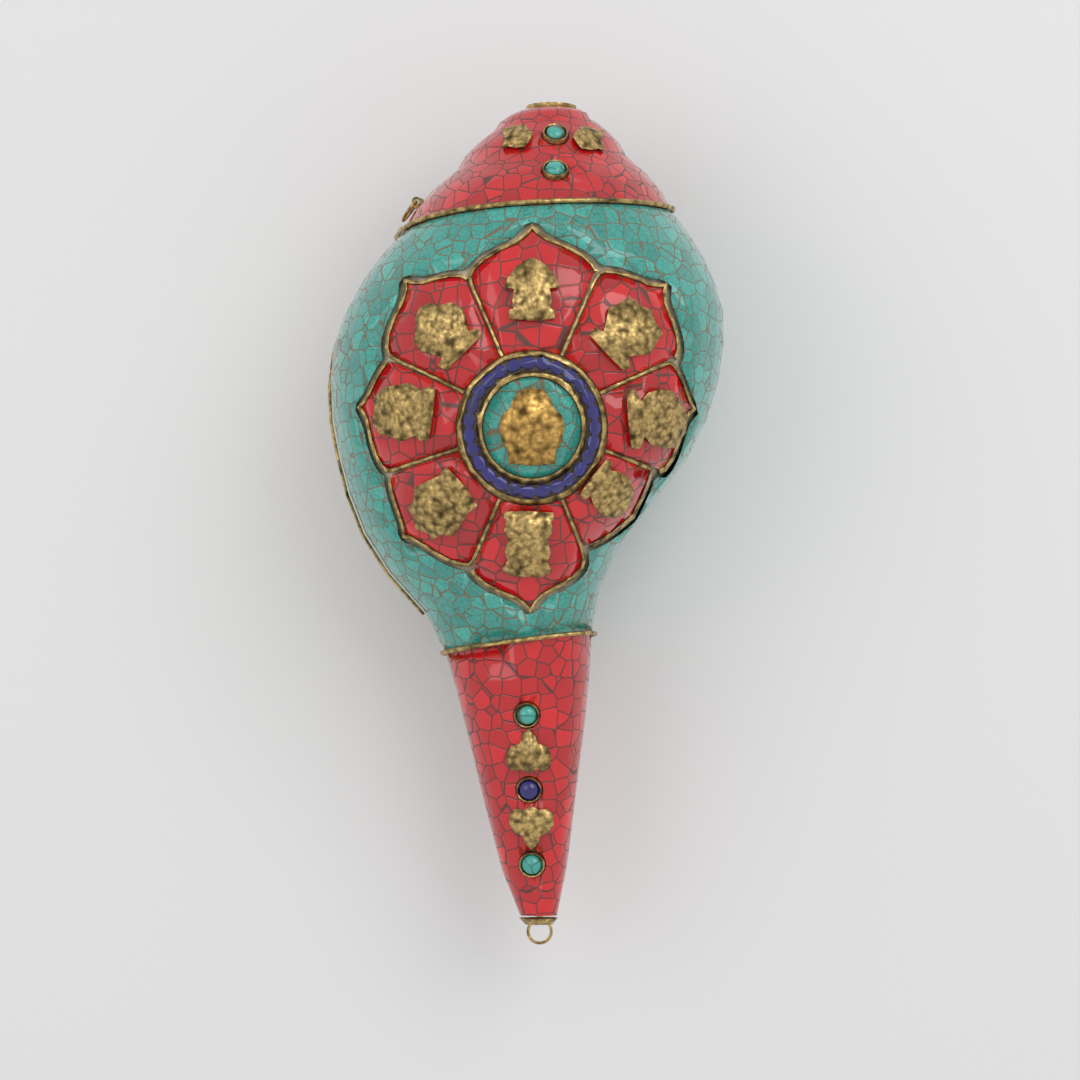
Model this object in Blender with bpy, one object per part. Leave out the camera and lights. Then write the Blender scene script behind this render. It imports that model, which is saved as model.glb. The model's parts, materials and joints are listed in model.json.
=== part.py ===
"""Conch shell trumpet with a stone mosaic skin, as named solids.

The trumpet lies on its belly. +Z is up, +Y runs along the coil's axis to the apex of the spire, and +X is
to the right as seen from above. Lengths are in metres and angles in degrees.

The outer surface is a right-handed coil. A place on it has a number of turns, counted back from the outer
lip, and a height y. Each whorl starts at its upper suture; the last one runs down to the canal's tip.
"""

from collections import namedtuple
from math import atan2, ceil, cos, degrees, exp, hypot, pi, radians, sin, sqrt

import bmesh
import bpy
from mathutils import Matrix, Vector

MM = 0.001

# Axis of the coil, where it meets the canal's tip and the apex.
TIP_Y = -116.0 * MM
APEX_Y = 125.0 * MM
AXIS_AT_TIP = Vector((3.0 * MM, TIP_Y, 37.1 * MM))
AXIS_AT_APEX = Vector((6.5 * MM, APEX_Y, 49.0 * MM))

# Suture spiral: its radius and height shrink towards the apex as exponentials of the turns.
SUTURE_SPREAD = 53.5 * MM
SUTURE_INSET = 6.6 * MM
SUTURE_RADIUS_RATE = 0.38
SUTURE_LIMIT_Y = 138.7 * MM
SUTURE_DROP = 57.6 * MM
SUTURE_DROP_RATE = 0.45
SUTURE_LEAN = 0.035
LIP_ANGLE = -125.0
APEX_TURNS = 3.5

# Whorl profiles below the suture.
SHOULDER_DEPTH = 40.0 * MM
SEAM_SHOULDER_DEPTH = 25.0 * MM
SEAM_START_TURNS = 0.75
WHORL_ROUNDNESS = 0.75
SECTION_ROUNDNESS = 2.15
LIP_SQUARENESS = 4.5
CANAL_SQUARENESS = 2.3
DOME_RADIUS = 16.0 * MM
DOME_FALL = 1250.0
DOME_DROP = 0.6 * MM

Section = namedtuple("Section", "y left right top bottom parietal")


def section(y, left, right, top, bottom, parietal):
    """One cross section of the body whorl: the reach from the axis on each side, given in millimetres."""
    return Section(y, left * MM, right * MM, top * MM, bottom * MM, parietal * MM)


SECTIONS = (
    section(60 * MM, 64.5, 53.4, 50.0, 48.0, 48.6),
    section(40 * MM, 64.7, 50.6, 49.5, 48.0, 43.0),
    section(20 * MM, 61.5, 42.2, 46.5, 46.0, 35.0),
    section(0 * MM, 54.9, 26.2, 38.5, 40.0, 27.0),
    section(-15 * MM, 45.5, 17.6, 30.0, 31.0, 21.0),
    section(-30 * MM, 32.5, 14.4, 22.5, 23.0, 17.0),
    section(-45 * MM, 27.0, 13.8, 18.5, 17.5, 14.0),
    section(-80 * MM, 17.6, 10.3, 13.0, 12.5, 10.5),
    section(-108 * MM, 9.6, 7.0, 8.6, 8.2, 7.6),
    section(TIP_Y, 5.8, 5.2, 5.4, 5.0, 5.0),
)

# Mesh grid of the outer surface.
COLUMNS = 30
LIP_COLUMNS = 2
BODY_ROWS = 18
WHORL_ROWS = 3
ROW_CROWDING = 1.2

# Mosaic skin over the shell, and the clearance between touching pieces.
SKIN_THICKNESS = 1.6 * MM
GAP = 0.3 * MM
CORE_DEPTH = SKIN_THICKNESS + 2 * GAP
JOINT_GAP = 0.5 * MM
SEAM_GAP = 1.4 * MM
CORE_TOP_Y = 118.0 * MM
SIDE_SHIFT = 1.35 * MM
TIP_INSET = 1.2 * MM
APEX_INSET = 0.8 * MM
APEX_INSET_Y = 116.0 * MM

# Spiral hollow.
WALL = 5.5 * MM
WHORL_WALL = 0.6 * MM
LIP_FLARE = 2.4 * MM
HOLLOW_TOP_WALL = 6.0 * MM
HOLLOW_FLOOR_Y = -25.0 * MM
HOLLOW_RADIUS_RATIO = 0.60
HOLLOW_START_TURNS = -0.02
HOLLOW_END_TURNS = 2.0
HOLLOW_SIDES = 10
HOLLOW_STEPS_PER_TURN = 20
STEM_BORE_END_Y = 103.5 * MM

# Siphonal groove, open towards the seam between lip and parietal wall.
GROOVE_TOP_Y = -14.0 * MM
GROOVE_END_Y = -112.0 * MM
GROOVE_FLOOR = 3.0 * MM
GROOVE_TOP_WIDTH = 6.0 * MM
GROOVE_END_WIDTH = 2.6 * MM
GROOVE_REACH = 60.0 * MM

# Bare oval on the belly, on which the shell rests.
FOOT_X = 6.0 * MM
FOOT_Y = 42.0 * MM
FOOT_HALF_WIDTH = 20.0 * MM
FOOT_HALF_LENGTH = 28.0 * MM
FOOT_THICKNESS = 3.4 * MM
FOOT_SIDES = 24

# Brass mouthpiece: a flange let into the apex, a cup, and a stem in the shell's bore.
MOUTH_FLANGE_RADIUS = 7.5 * MM
MOUTH_FLANGE_LENGTH = 3.4 * MM
MOUTH_RIM_RADIUS = 6.2 * MM
MOUTH_CUP_DEPTH = 9.0 * MM
MOUTH_THROAT_RADIUS = 2.6 * MM
MOUTH_STEM_RADIUS = 4.4 * MM
MOUTH_LENGTH = 14.0 * MM
MOUTH_SIDES = 24
SPIRE_OPENING_LENGTH = 16.0 * MM

# Brass wires along the joints.
SUTURE_WIRE_RADIUS = 0.7 * MM
CANAL_WIRE_RADIUS = 0.65 * MM
LIP_WIRE_RADIUS = 0.5 * MM
WIRE_SIDES = 6
CANAL_JOINT_Y = -34.8 * MM
CANAL_JOINT_SLOPE = 0.133
LIP_WIRE_ANGLE_AT_BODY = -93.0
LIP_WIRE_ANGLE_AT_CANAL = -91.0

# Lotus and medallion. A direction is clockwise from +Y as seen from above.
Place = namedtuple("Place", "direction distance")
LOTUS_X = 0.8 * MM
LOTUS_Y = 24.3 * MM
PETAL_TIPS = (
    Place(0.0, 58.0 * MM),
    Place(42.5, 57.0 * MM),
    Place(80.5, 48.0 * MM),
    Place(127.0, 37.5 * MM),
    Place(180.5, 51.0 * MM),
    Place(232.0, 47.5 * MM),
    Place(279.0, 51.0 * MM),
    Place(320.0, 57.0 * MM),
)
PETAL_NOTCHES = (
    Place(-23.0, 43.6 * MM),
    Place(23.0, 45.5 * MM),
    Place(63.5, 43.6 * MM),
    Place(106.5, 36.0 * MM),
    Place(156.5, 36.0 * MM),
    Place(205.0, 40.5 * MM),
    Place(255.0, 41.3 * MM),
    Place(297.5, 44.0 * MM),
)
PETAL_SHOULDER_SHARE = 0.70
PETAL_SHOULDER_POWER = 0.33
PETAL_TIP_POWER = 9.0
PETAL_STEPS = (0.03, 0.12, 0.3, 0.55, 0.8, 0.93, 1.0)
PETAL_WIRE_WIDTH = 0.9 * MM
PETAL_WIRE_RISE = 0.3 * MM
WIRE_END_GAP = 2.8 * MM
PETAL_END_GAP = 0.9 * MM
CASTING_LIFT = 0.6 * MM
LOTUS_HOLE_POINTS = 180
LOTUS_HOLE_SPREAD = 1.6
LOTUS_HOLE_EASE = 1.6

DISC_RADIUS = 14.0 * MM
INNER_RING_WIDTH = 1.4 * MM
OUTER_RING_WIDTH = 1.4 * MM
RING_RISE = 0.6 * MM
BEAD_COUNT = 27
BEAD_CIRCLE_RADIUS = 18.0 * MM
BEAD_RADIUS = 1.8 * MM
BEAD_THREAD_RADIUS = 0.6 * MM
BEAD_RISE = 1.5 * MM
RING_SIDES = 36

FIGURE_RISE = 2.6 * MM
CASTING_RISE = 1.8 * MM
FILIGREE_RISE = 0.9 * MM
CASTING_PLACES = (
    Place(0.0, 39.0 * MM),
    Place(45.4, 38.8 * MM),
    Place(84.6, 36.4 * MM),
    Place(128.0, 28.6 * MM),
    Place(182.0, 32.6 * MM),
    Place(230.8, 34.2 * MM),
    Place(278.0, 37.4 * MM),
    Place(317.2, 37.8 * MM),
)

# Cabochons in their bezels, by place on the back of the shell.
STONE_RADIUS = 3.0 * MM
STONE_RISE = 2.2 * MM
BEZEL_RADIUS = 3.9 * MM
BEZEL_RISE = 1.0 * MM
BEZEL_DEPTH = 1.4 * MM
BEZEL_SIDES = 16
CANAL_STONES = (
    (-0.8 * MM, -56.8 * MM),
    (-0.1 * MM, -78.7 * MM),
    (0.7 * MM, -100.7 * MM),
)
SPIRE_STONES = (
    (7.6 * MM, 112.6 * MM),
    (7.5 * MM, 100.0 * MM),
)
CANAL_FILIGREES = (
    (-0.2 * MM, -67.7 * MM, 0.0),
    (0.6 * MM, -89.6 * MM, 180.0),
)
SPIRE_FILIGREES = (
    (-3.6 * MM, 112.2 * MM, 90.0),
    (17.4 * MM, 111.8 * MM, -90.0),
)

# Strap rings, the eye under the tip cap and the staple on the shoulder.
RING_RADIUS = 3.5 * MM
RING_WIRE_RADIUS = 0.45 * MM
RING_STEPS = 24
EYE_HOLE_RADIUS = 0.85 * MM
EYE_RADIUS = 1.4 * MM
EYE_THICKNESS = 1.8 * MM
EYE_SIDES = 12
CAP_LENGTH = 2.4 * MM
CAP_END_SHARE = 0.74
CAP_BEAD_SHARE = 1.06
CAP_SIDES = 20
TAIL_HOLE_BELOW_AXIS = 7.5 * MM
TAIL_HOLE_BEHIND_TIP = 1.6 * MM
TAIL_ARM_START = 0.7 * MM
TAIL_ARM_END = 0.9 * MM
SHOULDER_TURNS = 1.0972
SHOULDER_Y = 95.5 * MM
SHOULDER_HOLE_RISE = 1.3 * MM
SHOULDER_SWING_IN = 6.0
SHOULDER_BASE_HALF = 1.9 * MM

MATERIALS = {
    "shell": ((0.80, 0.70, 0.55), 0.35, 0.0),
    "coral": ((0.56, 0.01, 0.012), 0.15, 0.0),
    "turquoise": ((0.05, 0.36, 0.30), 0.18, 0.0),
    "lapis": ((0.02, 0.018, 0.19), 0.2, 0.0),
    "brass": ((0.62, 0.43, 0.16), 0.3, 1.0),
    "gilt": ((0.72, 0.42, 0.12), 0.32, 1.0),
}


def smooth_through(knots, position):
    """Monotone cubic through (position, value) knots, level beyond both ends."""
    knots = sorted(knots)
    if position <= knots[0][0]:
        return knots[0][1]
    if position >= knots[-1][0]:
        return knots[-1][1]
    spans = [(a, b, (b[1] - a[1]) / (b[0] - a[0])) for a, b in zip(knots, knots[1:])]
    tangents = [spans[0][2]]
    for (_, _, before), (_, _, after) in zip(spans, spans[1:]):
        tangents.append(2 * before * after / (before + after) if before * after > 0 else 0.0)
    tangents.append(spans[-1][2])
    index = next(k for k, (_, end, _) in enumerate(spans) if position <= end[0])
    start, end, _ = spans[index]
    length = end[0] - start[0]
    part = (position - start[0]) / length
    rest = 1 - part
    return (start[1] * (1 + 2 * part) * rest ** 2 + tangents[index] * length * part * rest ** 2
            + end[1] * (3 - 2 * part) * part ** 2 - tangents[index + 1] * length * rest * part ** 2)


def reach(side, y):
    """Reach of the body section at y to one named side."""
    return smooth_through([(cut.y, getattr(cut, side)) for cut in SECTIONS], y)


def axis_point(y):
    """Point of the coil's axis at height y along the shell."""
    return AXIS_AT_TIP.lerp(AXIS_AT_APEX, (y - TIP_Y) / (APEX_Y - TIP_Y))


def turn_angle(turns):
    """Direction round the axis, from +Z towards +X, in degrees."""
    return LIP_ANGLE + 360 * turns


def suture_radius(turns):
    """Distance of the upper suture from the axis."""
    return SUTURE_SPREAD * exp(-SUTURE_RADIUS_RATE * turns) - SUTURE_INSET


def suture_y(turns):
    """Height of the upper suture, leaning a little to the left."""
    lean = SUTURE_LEAN * suture_radius(turns) * sin(radians(turn_angle(turns)))
    return SUTURE_LIMIT_Y - SUTURE_DROP * exp(-SUTURE_DROP_RATE * turns) - lean


def body_reach(turns, y):
    """Reach of the body whorl's envelope from the axis at a turn and height."""
    angle = turn_angle(turns)
    if angle > 180:
        part = (angle - 180) / (LIP_ANGLE + 180)
        bottom = reach("bottom", y)
        return bottom + (reach("parietal", y) - bottom) * part ** 2
    across = sin(radians(angle))
    upward = cos(radians(angle))
    power = SECTION_ROUNDNESS
    if across < 0 and upward < 0:
        power = smooth_through([(-45 * MM, CANAL_SQUARENESS), (0, LIP_SQUARENESS)], y)
    side = reach("left" if across < 0 else "right", y)
    level = reach("top" if upward > 0 else "bottom", y)
    return (abs(across / side) ** power + abs(upward / level) ** power) ** (-1 / power)


def swelling(part):
    """Rise of a whorl's profile from 0 at the suture to 1 at its fullest."""
    return 1 - (1 - min(max(part, 0.0), 1.0)) ** 2


def whorl_reach(turns, y):
    """Reach of the outer surface from the axis, before the belly is flattened."""
    start = suture_radius(turns)
    depth = suture_y(turns) - y
    if turns <= 1:
        seam = smooth_through([(SEAM_START_TURNS, 0.0), (1.0, 1.0)], turns)
        shoulder = SHOULDER_DEPTH + (SEAM_SHOULDER_DEPTH - SHOULDER_DEPTH) * seam
        return start + (body_reach(turns, y) - start) * swelling(depth / shoulder)
    drop = suture_y(turns) - suture_y(turns - 1)
    fullness = swelling(WHORL_ROUNDNESS * depth / drop) / swelling(WHORL_ROUNDNESS)
    return start + (suture_radius(turns - 1) - start) * fullness


def clipped_reach(turns, y):
    """Reach of the outer surface where the belly is cut flat at the floor."""
    distance = whorl_reach(turns, y)
    downward = -cos(radians(turn_angle(turns)))
    if downward > 0:
        distance = min(distance, axis_point(y).z / downward)
    return distance


def polar_point(turns, y, distance):
    """Point at a turn, a height and a distance from the axis."""
    angle = radians(turn_angle(turns))
    centre = axis_point(y)
    return Vector((centre.x + distance * sin(angle), y, centre.z + distance * cos(angle)))


def shell_point(turns, y):
    """Point of the outer surface, with the apex rounded to a dome."""
    distance = clipped_reach(turns, y)
    if distance < DOME_RADIUS:
        y = min(y, APEX_Y - DOME_DROP - DOME_FALL * distance ** 3)
    return polar_point(turns, y, distance)


def column_turns(column, y):
    """Turns at a body column: columns up to LIP_COLUMNS cover the bare lip, whose border bends with y."""
    top_border = LIP_ANGLE + 360 * LIP_COLUMNS / COLUMNS
    border_angle = smooth_through([(0, LIP_WIRE_ANGLE_AT_CANAL), (25 * MM, LIP_WIRE_ANGLE_AT_BODY),
                                   (60 * MM, top_border)], y)
    border = (border_angle - LIP_ANGLE) / 360
    if column <= LIP_COLUMNS:
        return border * column / LIP_COLUMNS
    return border + (1 - border) * (column - LIP_COLUMNS) / (COLUMNS - LIP_COLUMNS)


def row_share(turns, row):
    """How far down the body whorl a row lies, blended from the lip's spacing to the seam's."""
    at_lip = (row / BODY_ROWS) ** ROW_CROWDING
    seam_top = (suture_y(1) - suture_y(0)) / (suture_y(1) - TIP_Y)
    if row <= WHORL_ROWS:
        at_seam = seam_top * row / WHORL_ROWS
    else:
        part = (row - WHORL_ROWS) / (BODY_ROWS - WHORL_ROWS)
        at_seam = seam_top + (1 - seam_top) * part ** ROW_CROWDING
    return at_lip + (at_seam - at_lip) * turns


def body_point(column, row, down=0.0, back=0.0):
    """Grid point of the body whorl, moved down the surface or back along the turn by a small length."""
    turns = column / COLUMNS
    y = suture_y(turns) + (TIP_Y - suture_y(turns)) * row_share(turns, row) - down
    turns = column_turns(column, y)
    return shell_point(turns - back / (2 * pi * whorl_reach(turns, y)), y)


def spire_point(column, row, up=0.0):
    """Grid point of the spire, moved up the surface by a small length."""
    turns = column / COLUMNS
    y = suture_y(turns) + (suture_y(turns - 1) - suture_y(turns)) * row / WHORL_ROWS + up
    return shell_point(turns, y)


def grid_key(column, row):
    """Name of a grid vertex; a spire column's last row is the first row one turn earlier."""
    if column >= COLUMNS and row == WHORL_ROWS:
        return (column - COLUMNS, 0)
    return (column, row)


LAST_COLUMN = ceil(APEX_TURNS * COLUMNS)


def add_quads(mesh, vertices, columns, rows):
    """Faces of a block of the grid, wound to face outwards."""
    for column in columns:
        for row in rows:
            corners = [(column, row), (column, row + 1), (column + 1, row + 1), (column + 1, row)]
            keys = [grid_key(*corner) for corner in corners]
            mesh.faces.new([vertices[key] for key in keys])


def full_surface():
    """The whole outer surface as a closed mesh, with its vertices by grid key."""
    mesh = bmesh.new()
    vertices = {}
    for column in range(COLUMNS + 1):
        for row in range(BODY_ROWS + 1):
            key = grid_key(column, row)
            if key not in vertices:
                vertices[key] = mesh.verts.new(body_point(*key))
    for column in range(COLUMNS + 1, LAST_COLUMN + 1):
        for row in range(WHORL_ROWS):
            vertices[(column, row)] = mesh.verts.new(spire_point(column, row))
    add_quads(mesh, vertices, range(COLUMNS), range(BODY_ROWS))
    add_quads(mesh, vertices, range(COLUMNS, LAST_COLUMN), range(WHORL_ROWS))
    apex = mesh.verts.new(axis_point(APEX_Y - DOME_DROP))
    rim = [(column, 0) for column in range(LAST_COLUMN - COLUMNS, LAST_COLUMN + 1)]
    rim += [grid_key(LAST_COLUMN, row) for row in range(1, WHORL_ROWS + 1)]
    for before, after in zip(rim, rim[1:]):
        mesh.faces.new([vertices[before], vertices[after], apex])
    tip = mesh.verts.new(axis_point(TIP_Y))
    for column in range(COLUMNS):
        mesh.faces.new([vertices[(column, BODY_ROWS)], tip, vertices[(column + 1, BODY_ROWS)]])
    mesh.faces.new([vertices[(COLUMNS, BODY_ROWS)], tip, vertices[(0, BODY_ROWS)]])
    add_seam_wall(mesh, vertices)
    bmesh.ops.recalc_face_normals(mesh, faces=mesh.faces)
    mesh.normal_update()
    return mesh, vertices


def add_seam_wall(mesh, vertices):
    """Wall between the lip's edge and the parietal wall, from the suture to the tip."""
    lip = [vertices[(0, row)] for row in range(BODY_ROWS + 1)]
    inner = [vertices[grid_key(COLUMNS, row)] for row in range(WHORL_ROWS, BODY_ROWS + 1)]
    lip_at = 0
    inner_at = 0
    while lip_at < len(lip) - 1 or inner_at < len(inner) - 1:
        lip_next = lip[lip_at + 1].co.y if lip_at < len(lip) - 1 else -1.0
        inner_next = inner[inner_at + 1].co.y if inner_at < len(inner) - 1 else -1.0
        if lip_next > inner_next:
            corners = [lip[lip_at], lip[lip_at + 1], inner[inner_at]]
            lip_at += 1
        else:
            corners = [lip[lip_at], inner[inner_at + 1], inner[inner_at]]
            inner_at += 1
        if len(set(corners)) == 3:
            mesh.faces.new(corners)


def even_offset(vertex, distance):
    """Where a vertex goes when its faces move out by a distance, kept short at sharp corners."""
    return vertex.co + vertex.normal * distance * min(vertex.calc_shell_factor(), 2.0)


def link(name, mesh_data, material=None):
    """New object with the given mesh and material."""
    item = bpy.data.objects.new(name, mesh_data)
    bpy.context.scene.collection.objects.link(item)
    if material:
        item.data.materials.append(finish(material))
    return item


def finish(name):
    """Principled material by name, made once."""
    found = bpy.data.materials.get(name)
    if found:
        return found
    colour, roughness, metallic = MATERIALS[name]
    material = bpy.data.materials.new(name)
    material.use_nodes = True
    shader = material.node_tree.nodes["Principled BSDF"]
    shader.inputs["Base Color"].default_value = (*colour, 1.0)
    shader.inputs["Roughness"].default_value = roughness
    shader.inputs["Metallic"].default_value = metallic
    return material


def object_from(name, mesh, material=None):
    """New object from a bmesh, which is freed; each closed mesh faces outwards."""
    data = bpy.data.meshes.new(name)
    mesh.to_mesh(data)
    mesh.free()
    return link(name, data, material)


def hide_cutter(item):
    """Mark an object as a cutter that isn't part of the model."""
    item.hide_render = True
    item.display_type = "WIRE"
    return item


def cut(item, cutter, operation):
    """Add an exact boolean with a cutter."""
    modifier = item.modifiers.new(f"{operation.lower()} {cutter.name}", "BOOLEAN")
    modifier.operation = operation
    modifier.object = cutter
    return item


def closed_loft(name, loops, material=None, ring=False):
    """Closed solid through equal loops of points, capped, or joined end to end when it is a ring."""
    mesh = bmesh.new()
    rows = [[mesh.verts.new(point) for point in loop] for loop in loops]
    pairs = list(zip(rows, rows[1:]))
    if ring:
        pairs.append((rows[-1], rows[0]))
    for first, second in pairs:
        for index in range(len(first)):
            after = (index + 1) % len(first)
            mesh.faces.new([first[index], first[after], second[after], second[index]])
    if not ring:
        mesh.faces.new(list(reversed(rows[0])))
        mesh.faces.new(rows[-1])
    bmesh.ops.recalc_face_normals(mesh, faces=mesh.faces)
    return object_from(name, mesh, material)


def prism(name, outline, low, high):
    """Upright cutter over an outline of (x, y) points."""
    loops = [[Vector((x, y, z)) for x, y in outline] for z in (low, high)]
    return hide_cutter(closed_loft(name, loops))


def tube_prism(name, outer, inner, low, high):
    """Upright cutter between two outlines with the same number of points."""
    loops = [[Vector((x, y, z)) for x, y in outline]
             for outline, z in ((outer, low), (outer, high), (inner, high), (inner, low))]
    return hide_cutter(closed_loft(name, loops, ring=True))


def block(name, low, high, turn=0.0, pivot=None):
    """Box cutter between two corners, turned about Z round a pivot."""
    outline = [(low[0], low[1]), (high[0], low[1]), (high[0], high[1]), (low[0], high[1])]
    if turn:
        rotation = Matrix.Rotation(turn, 2)
        middle = Vector(pivot)
        outline = [tuple(middle + rotation @ (Vector(point) - middle)) for point in outline]
    return prism(name, outline, low[2], high[2])


def swept_wire(name, path, radius, sides, material, closed=False):
    """Round wire along a path of points."""
    count = len(path)
    directions = []
    for index in range(count):
        before = path[index - 1] if closed or index else path[index]
        after = path[(index + 1) % count] if closed or index < count - 1 else path[index]
        directions.append((after - before).normalized())
    side = directions[0].orthogonal().normalized()
    loops = []
    for point, direction in zip(path, directions):
        side = (side - direction * side.dot(direction)).normalized()
        up = direction.cross(side)
        loops.append([point + (side * cos(2 * pi * k / sides) + up * sin(2 * pi * k / sides)) * radius
                      for k in range(sides)])
    return closed_loft(name, loops, material, ring=closed)


def turned(name, profile, frame, sides, material=None):
    """Solid of revolution about the frame's Z axis; a profile that leaves the axis is a closed loop."""
    mesh = bmesh.new()
    rows = []
    for radius, height in profile:
        if radius == 0:
            rows.append([mesh.verts.new(frame @ Vector((0, 0, height)))] * sides)
        else:
            rows.append([mesh.verts.new(frame @ Vector((radius * cos(2 * pi * k / sides),
                                                        radius * sin(2 * pi * k / sides), height)))
                         for k in range(sides)])
    pairs = list(zip(rows, rows[1:]))
    if profile[0][0] > 0:
        pairs.append((rows[-1], rows[0]))
    for first, second in pairs:
        for k in range(sides):
            after = (k + 1) % sides
            corners = [first[k], first[after], second[after], second[k]]
            distinct = [corner for at, corner in enumerate(corners) if corner not in corners[:at]]
            mesh.faces.new(distinct)
    bmesh.ops.recalc_face_normals(mesh, faces=mesh.faces)
    item = object_from(name, mesh, material)
    item.data.shade_smooth()
    item.data.set_sharp_from_angle(angle=radians(40))
    return item


def circle(radius, sides, centre=(0.0, 0.0), half_length=None):
    """Points of a circle or, with a half length along y, of an ellipse."""
    length = radius if half_length is None else half_length
    return [(centre[0] + radius * cos(2 * pi * k / sides), centre[1] + length * sin(2 * pi * k / sides))
            for k in range(sides)]


def shell_core(surface):
    """The shell itself: the outer surface set back under the mosaic, with its hollow, bore and groove."""
    mesh = surface.copy()
    mesh.normal_update()
    places = [even_offset(vertex, -CORE_DEPTH) for vertex in mesh.verts]
    for vertex, place in zip(mesh.verts, places):
        if vertex.co.y <= TIP_Y + 0.01 * MM:
            inward = axis_point(TIP_Y) - place
            inward.y = 0
            if inward.length > TIP_INSET:
                place += inward.normalized() * TIP_INSET
            place.y = TIP_Y
        if vertex.co.y > APEX_INSET_Y:
            place.y -= APEX_INSET
        vertex.co = place
    core = object_from("shell_core", mesh, "shell")
    foot = circle(FOOT_HALF_WIDTH, FOOT_SIDES, (FOOT_X, FOOT_Y), FOOT_HALF_LENGTH)
    cut(core, prism("foot_block", foot, 0.0, FOOT_THICKNESS), "UNION")
    cut(core, hollow_cutter(), "DIFFERENCE")
    far = 200 * MM
    cut(core, block("core_top", (-far, CORE_TOP_Y, -far), (far, far, far)), "DIFFERENCE")
    cut(core, bore_cutter("bore_cutter", GAP), "DIFFERENCE")
    cut(core, groove_cutter("groove_cutter", 0.0), "DIFFERENCE")
    return core


def hollow_bounds(turns, y):
    """Inner and outer reach of the spiral hollow in the last turn."""
    outer = clipped_reach(turns, y) - WALL
    blend = smooth_through([(SEAM_START_TURNS, 0.0), (1.0, 1.0)], turns)
    outer += (HOLLOW_RADIUS_RATIO * (clipped_reach(0.0, unwound_y(y)) - WALL) - outer) * blend
    inner = HOLLOW_RADIUS_RATIO * clipped_reach(max(turns, 0.0), unwound_y(y)) + WHORL_WALL
    lip = 1 - smooth_through([(0.0, 0.0), (0.2, 1.0)], turns)
    inner += (reach("parietal", y) - LIP_FLARE - inner) * lip
    return min(inner, outer), outer


def unwound_y(y):
    """Height in the next larger whorl that matches y."""
    return SUTURE_LIMIT_Y - (SUTURE_LIMIT_Y - y) * exp(SUTURE_DROP_RATE)


def hollow_ring(turns):
    """One cross section of the hollow, as (distance from the axis, y) pairs."""
    whole = max(int(turns), 0)
    turns -= whole
    low = SUTURE_LIMIT_Y - (SUTURE_LIMIT_Y - HOLLOW_FLOOR_Y) * exp(-SUTURE_DROP_RATE * turns)
    high = suture_y(turns) - HOLLOW_TOP_WALL
    ring = []
    for index in range(HOLLOW_SIDES):
        angle = 2 * pi * index / HOLLOW_SIDES
        y = (low + high) / 2 + (high - low) / 2 * cos(angle)
        inner, outer = hollow_bounds(turns, y)
        distance = (inner + outer) / 2 + (outer - inner) / 2 * sin(angle)
        shrink = HOLLOW_RADIUS_RATIO ** whole
        squeeze = exp(-SUTURE_DROP_RATE * whole)
        ring.append((distance * shrink, SUTURE_LIMIT_Y - (SUTURE_LIMIT_Y - y) * squeeze))
    return ring


def hollow_cutter():
    """Spiral hollow from the aperture up into the spire."""
    steps = ceil((HOLLOW_END_TURNS - HOLLOW_START_TURNS) * HOLLOW_STEPS_PER_TURN)
    loops = []
    for step in range(steps + 1):
        turns = HOLLOW_START_TURNS + (HOLLOW_END_TURNS - HOLLOW_START_TURNS) * step / steps
        loops.append([polar_point(turns, y, distance) for distance, y in hollow_ring(turns)])
    return hide_cutter(closed_loft("hollow_cutter", loops))


def mouth_frame():
    """Frame at the apex with Z pointing out of the shell along +Y."""
    return Matrix.Translation(axis_point(APEX_Y)) @ Matrix.Rotation(radians(-90), 4, "X")


def bore_cutter(name, clearance):
    """Stepped bore for the mouthpiece's flange and stem."""
    flange = MOUTH_FLANGE_RADIUS + clearance
    stem = MOUTH_STEM_RADIUS + clearance
    seat = -MOUTH_FLANGE_LENGTH - clearance
    end = STEM_BORE_END_Y - APEX_Y
    profile = [(0, 4 * MM), (flange, 4 * MM), (flange, seat), (stem, seat), (stem, end), (0, end)]
    return hide_cutter(turned(name, profile, mouth_frame(), MOUTH_SIDES))


def groove_cutter(name, clearance):
    """Wedge-shaped slot along the canal, opening towards the seam."""
    direction = radians(LIP_ANGLE)
    outward = Vector((sin(direction), 0, cos(direction)))
    across = Vector((cos(direction), 0, -sin(direction)))
    loops = []
    for y, width in ((GROOVE_TOP_Y, GROOVE_TOP_WIDTH), (GROOVE_END_Y, GROOVE_END_WIDTH)):
        half = width / 2 + clearance
        y += clearance if y == GROOVE_TOP_Y else -clearance
        near = axis_point(y) + outward * GROOVE_FLOOR
        far = near + outward * GROOVE_REACH
        loops.append([near - across * half, far - across * half, far + across * half, near + across * half])
    return hide_cutter(closed_loft(name, loops))


def patch_mesh(name, places, quads):
    """Open mesh from named places and quads of their names."""
    mesh = bmesh.new()
    vertices = {key: mesh.verts.new(place) for key, place in places.items()}
    for quad in quads:
        mesh.faces.new([vertices[key] for key in quad])
    data = bpy.data.meshes.new(name)
    mesh.to_mesh(data)
    mesh.free()
    return data


def block_quads(columns, rows):
    """Quads over a block of plain grid names, wound to face outwards."""
    return [[(column, row), (column, row + 1), (column + 1, row + 1), (column + 1, row)]
            for column in columns for row in rows]


def body_patch(first_column, last_column):
    """Body whorl from the suture to the tip, a joint's width clear of the spire's skin."""
    places = {}
    for column in range(first_column, last_column + 1):
        back = SEAM_GAP if column == COLUMNS else 0.0
        for row in range(BODY_ROWS + 1):
            down = JOINT_GAP if row == 0 else 0.0
            places[(column, row)] = body_point(column, row, down, back)
    quads = block_quads(range(first_column, last_column), range(BODY_ROWS))
    return patch_mesh("body_patch", places, quads)


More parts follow.
